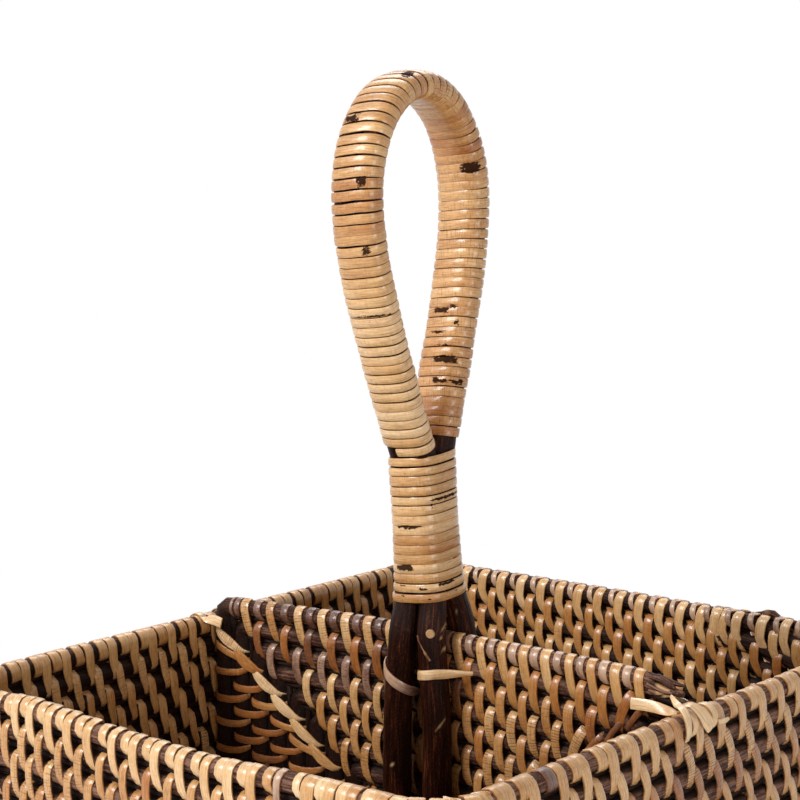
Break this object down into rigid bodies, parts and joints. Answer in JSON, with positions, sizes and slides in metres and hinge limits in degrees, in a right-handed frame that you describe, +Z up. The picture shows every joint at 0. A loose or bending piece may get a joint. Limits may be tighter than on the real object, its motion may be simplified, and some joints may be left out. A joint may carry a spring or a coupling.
{
  "type": "rattan cutlery caddy",
  "caption": "Rectangular coiled rattan cutlery caddy with an upright divider across the middle and a peel-wound loop handle.",
  "frame": {"origin": "under the middle of the base, on the surface it stands on", "axes": "+Z up, X along the divider, Y across it from the front compartment to the back one"},
  "size_m": [0.2216, 0.2672, 0.3182],
  "materials": {
    "rattan_rod": "matt bark",
    "rattan_peel": "satin",
    "handle_cane": "satin bark"
  },
  "bodies": {
    "root": {"base_coil": "rattan_rod", "wall_coil_lower": "rattan_rod", "wall_coil_middle": "rattan_rod", "wall_coil_upper": "rattan_rod", "rim_coil": "rattan_rod", "divider_coil": "rattan_rod", "cane_left": "handle_cane", "cane_right": "handle_cane", "loop_winding": "rattan_peel", "neck_winding": "rattan_peel", "leg_lashing_front_left": "rattan_peel", "leg_lashing_front_right": "rattan_peel", "leg_lashing_back_left": "rattan_peel", "leg_lashing_back_right": "rattan_peel", "rim_tie_right_front": "rattan_peel", "rim_tie_right_back": "rattan_peel", "rim_tie_left_front": "rattan_peel", "rim_tie_left_back": "rattan_peel"}
  },
  "joints": []
}
